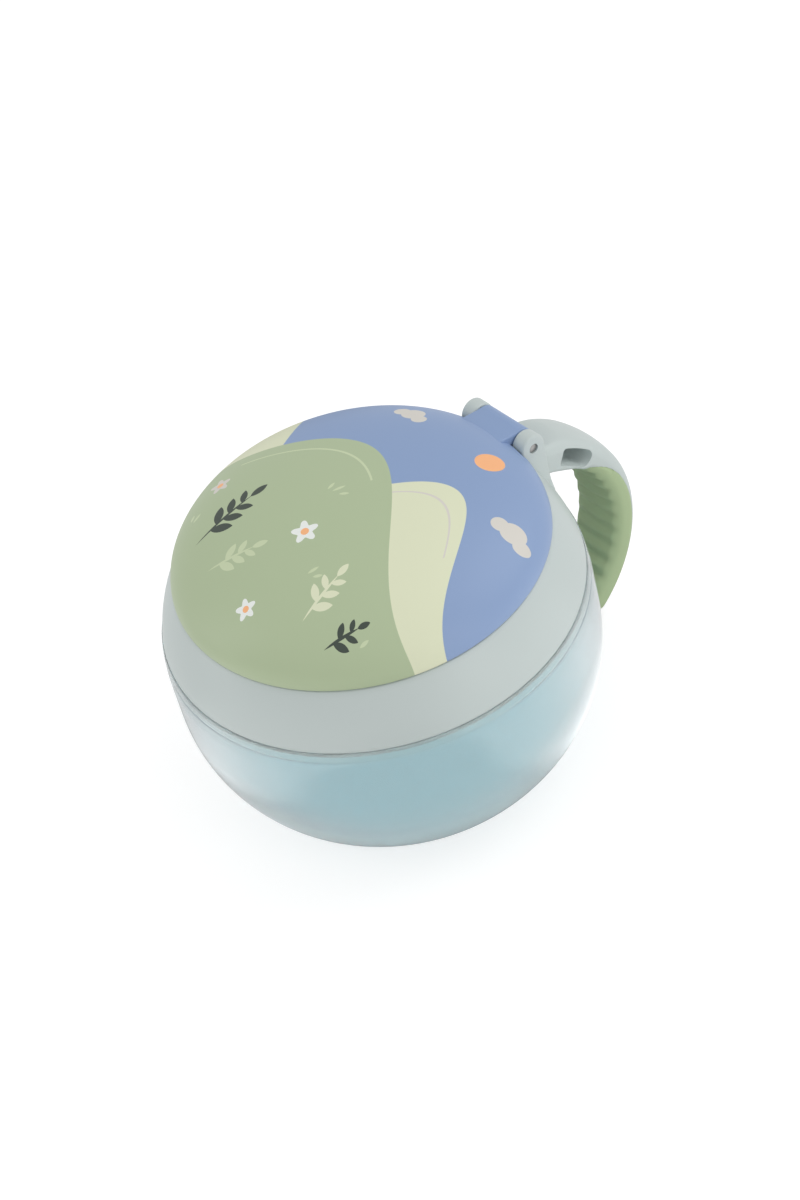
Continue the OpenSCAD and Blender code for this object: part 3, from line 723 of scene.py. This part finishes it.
# room for the ears: round them, and down from there to the edge of the lid
notches = []
for x0, x1 in ((-EAR_OUT - NOTCH_SIDE, -KNUCKLE_X), (KNUCKLE_X, EAR_OUT + NOTCH_SIDE)):
    notches.append(rod("notch", NOTCH_R, x0, x1, count=96))
    y0, y1 = RIM_IN + 0.3, 56
    notches.append(plate("notch", [(y0, LID_Z - 1), (y1, LID_Z - 1), (y1, PIN_Z), (y0, PIN_Z)], x0, x1, 0))
cut(lid, *notches, sharp=38)
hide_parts("lid")
blue = material("lid plastic", linear(139, 162, 200), 0.4, Specular_IOR_Level=0.38)
fit("lid", "lid_plastic", blue, knuckle)

SAGE, CREAM, LINE = linear(177, 192, 157), linear(222, 226, 196), linear(200, 212, 176)
ORANGE, BLUSH = linear(250, 184, 132), linear(214, 210, 202)
WHITE, DARK = linear(236, 240, 236), linear(66, 76, 68)
printed = blue.copy()
printed.name = "lid print"
art = Drawing(printed)
# sun, two clouds, two hills with their paths
art.fill(art.disc(14, 32, 3.4), ORANGE)
for u, v in ((-14, 31), (34, 20)):
    for du, dv, size in ((-3.2, 0, 2.0), (0, 0.9, 2.9), (3.4, 0, 1.9)):
        art.fill(art.disc(u + du, v + dv, size), BLUSH)
art.fill(art.hill(3, 16, 10, -0.25), CREAM)
art.fill(art.contour(-1, 15, 10, -0.25, 0.6, 8, 31), BLUSH)
art.fill(art.hill(-2, 17, 17, 2.05), SAGE)
art.fill(art.contour(-7, 17, 17, 2.05, 0.6, -34, 2), LINE)
# sprigs, flowers and blades of grass
art.sprig(-22, -30, 17, 82, 6, 6.2, DARK)
art.sprig(-12, -34, 12, 58, 5, 5.0, LINE)
art.sprig(19, -30, 13, 96, 5, 5.0, CREAM)
art.sprig(27, -31, 9, 70, 4, 4.0, DARK)
for u, v, size, colour in ((2, -14, 3.4, WHITE), (-33, -14, 2.8, BLUSH), (5, -36, 2.6, WHITE)):
    art.fill(art.flower(u, v, size, 5), colour)
    art.fill(art.disc(u, v, size * 0.3), ORANGE)
for u, v, length, angle in ((-2, 0, 3.4, 70), (-4.2, -0.6, 2.6, 100), (0.4, -0.4, 2.6, 45),
                            (12, -20, 3.0, 75), (14, -20.4, 2.4, 50), (-30, -24, 2.8, 95),
                            (-31.6, -24.4, 2.2, 120), (33, -24, 2.6, 80)):
    art.fill(art.leaf(u, v, length, 0.8, angle), LINE)
art.done()
fit("lid", "lid_plastic", printed, lid)

# ------------------------------------------------------------------ lid seal
# Silicone ring pushed into the groove under the edge of the lid, where it
# meets the collar's rim. It is open behind, where the hinge is.
SEAL_FIT = 0.1
SEAL_IN, SEAL_OUT, SEAL_LOW = SEAT_IN + SEAL_FIT, SEAT_OUT - SEAL_FIT, LID_Z - SEAL_FIT / 2
SEAL_TOP = SEAL_LOW + SEAT_H
seal_end = math.asin((EAR_OUT + 2 * NOTCH_SIDE) / (SEAL_IN - 0.2))
strip = rounded([(SEAL_IN, SEAL_TOP), (SEAL_OUT, SEAL_TOP), (SEAL_OUT, SEAL_LOW),
                 (SEAL_IN, SEAL_LOW)], 0.3)
turn = math.pi / 2 + np.linspace(seal_end, 2 * math.pi - seal_end, 320)
seal = skinned("seal_strip", turned(strip, turn))
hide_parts("lid_seal")
fit("lid", "seal_silicone", clear, seal)

# ------------------------------------------------------------------ studio
# Pale floor that keeps a faint shadow, three soft lamps and the camera. The
# floor glows for glossy rays, which puts soft light areas on both sides of
# the tub, in metres from here on.
AZ, EL, ROLL, DISTANCE = math.radians(61.0), math.radians(44.49), math.radians(15.764), 0.7
AIM_Z, LENS, SHIFT_X, SHIFT_Y = 0.035, 85.6, 0.01105, 0.0350
FLOOR_GREY, CAMERA_GLOW, SKY_LIGHT, SIDE_SHIFT = 0.82, 1.45, 0.7, 0.012
# levels of the glow, each as (from, to, level before, level after)
SIDES, BEHIND, UNDER = (0.043, 0.060, 0.76, 1.75), (-0.02, 0.03, 1.0, 0.5), (0.03, 0.05, 0.25, 1.0)


def joined(tree, kind, *links, **settings):
    """A node with its first inputs linked."""
    node = tree.nodes.new(kind)
    for key, value in settings.items():
        setattr(node, key, value)
    for i, link in enumerate(links):
        tree.links.new(link, node.inputs[i])
    return node


def toward(place, direction):
    """How far a place on the floor lies in a direction: place . direction."""
    node = joined(floor_tree, "ShaderNodeVectorMath", place, operation="DOT_PRODUCT")
    node.inputs[1].default_value = direction
    return node.outputs["Value"]


def soft_step(value, low, high, start, end):
    """start up to low, end from high on, and t ^ 2 * (3 - 2 * t) of the way between."""
    node = joined(floor_tree, "ShaderNodeMapRange", value, interpolation_type="SMOOTHSTEP")
    for i, stop in enumerate((low, high, start, end), 1):
        node.inputs[i].default_value = stop
    return node.outputs[0]


def times(a, b):
    """The product of two levels."""
    return joined(floor_tree, "ShaderNodeMath", a, b, operation="MULTIPLY").outputs[0]


def lamp(name, place, size, power):
    """A soft rectangular lamp that points at the cup."""
    data = bpy.data.lights.new(name, "AREA")
    data.shape = "RECTANGLE"
    data.size, data.size_y = size
    data.energy = power
    obj = bpy.data.objects.new(name, data)
    bpy.context.scene.collection.objects.link(obj)
    obj.location = place
    obj.rotation_euler = (Vector((0, 0, 0.05)) - Vector(place)).to_track_quat("-Z", "Y").to_euler()


bpy.ops.mesh.primitive_plane_add(size=60.0, location=(0, 0, -0.0001))
floor = bpy.context.object
floor.name = "floor"
floor.data.materials.append(material("floor", (FLOOR_GREY,) * 3, 0.9))
floor_tree = floor.data.materials[0].node_tree

# the glow for glossy rays: bright at both sides, less behind, dark under the tub
place = joined(floor_tree, "ShaderNodeTexCoord").outputs["Object"]
across = toward(place, (math.cos(AZ), math.sin(AZ), 0))
shift = joined(floor_tree, "ShaderNodeMath", across, operation="ADD")
shift.inputs[1].default_value = SIDE_SHIFT
side = joined(floor_tree, "ShaderNodeMath", shift.outputs[0], operation="ABSOLUTE").outputs[0]
behind = toward(place, (-math.sin(AZ), math.cos(AZ), 0))
middle = joined(floor_tree, "ShaderNodeVectorMath", place, operation="LENGTH").outputs["Value"]
level = times(times(soft_step(side, *SIDES), soft_step(behind, *BEHIND)), soft_step(middle, *UNDER))
light, white, glow = (floor_tree.nodes.new("ShaderNodeEmission") for _ in range(3))
floor_tree.links.new(level, light.inputs["Strength"])
glow.inputs["Strength"].default_value = CAMERA_GLOW
# the camera sees half floor, half glow; light through the tub sees plain white
plain = floor_tree.nodes["Principled BSDF"].outputs[0]
half_lit = floor_tree.nodes.new("ShaderNodeMixShader")
floor_tree.links.new(plain, half_lit.inputs[1])
floor_tree.links.new(glow.outputs[0], half_lit.inputs[2])
rays = joined(floor_tree, "ShaderNodeLightPath").outputs
floor_look = plain
for ray, shader in (("Is Glossy Ray", light), ("Is Transmission Ray", white), ("Is Camera Ray", half_lit)):
    mix = joined(floor_tree, "ShaderNodeMixShader", rays[ray], floor_look, shader.outputs[0])
    floor_look = mix.outputs[0]
floor_tree.links.new(floor_look, floor_tree.nodes["Material Output"].inputs["Surface"])

lamp("key", (0.35, 0.75, 0.75), (0.7, 0.9), 2.8)
lamp("left", (-0.55, -0.75, 0.45), (0.35, 0.9), 1.6)
lamp("right", (0.95, 0.15, 0.35), (0.35, 0.9), 1.4)

# white surroundings, a little weaker as a light than as a background
world = bpy.data.worlds.new("studio")
bpy.context.scene.world = world
world.use_nodes = True
sky = world.node_tree
sky.nodes["Background"].inputs["Color"].default_value = (1, 1, 1, 1)
rays = joined(sky, "ShaderNodeLightPath").outputs
direct = joined(sky, "ShaderNodeMath", rays["Is Camera Ray"], rays["Is Transmission Ray"],
                operation="MAXIMUM")
backdrop = joined(sky, "ShaderNodeMapRange", direct.outputs[0])
backdrop.inputs["To Min"].default_value = SKY_LIGHT
sky.links.new(backdrop.outputs[0], sky.nodes["Background"].inputs["Strength"])

# the camera looks down at the cup from its side, rolled about its own line of sight
back = Vector((math.sin(AZ) * math.cos(EL), -math.cos(AZ) * math.cos(EL), math.sin(EL)))
right = Vector((math.cos(AZ), math.sin(AZ), 0))
up = back.cross(right)
camera_right = right * math.cos(ROLL) - up * math.sin(ROLL)
camera_up = right * math.sin(ROLL) + up * math.cos(ROLL)
lens = bpy.data.cameras.new("camera")
camera = bpy.data.objects.new("camera", lens)
bpy.context.scene.collection.objects.link(camera)
camera.matrix_world = (Matrix.Translation(Vector((0, 0, AIM_Z)) + back * DISTANCE)
                       @ Matrix((camera_right, camera_up, back)).transposed().to_4x4())
lens.sensor_width = 36
lens.lens = LENS
lens.shift_x, lens.shift_y = SHIFT_X, SHIFT_Y
lens.clip_start, lens.clip_end = 0.01, 20
bpy.context.scene.camera = camera
bpy.context.scene.view_settings.view_transform = "Standard"
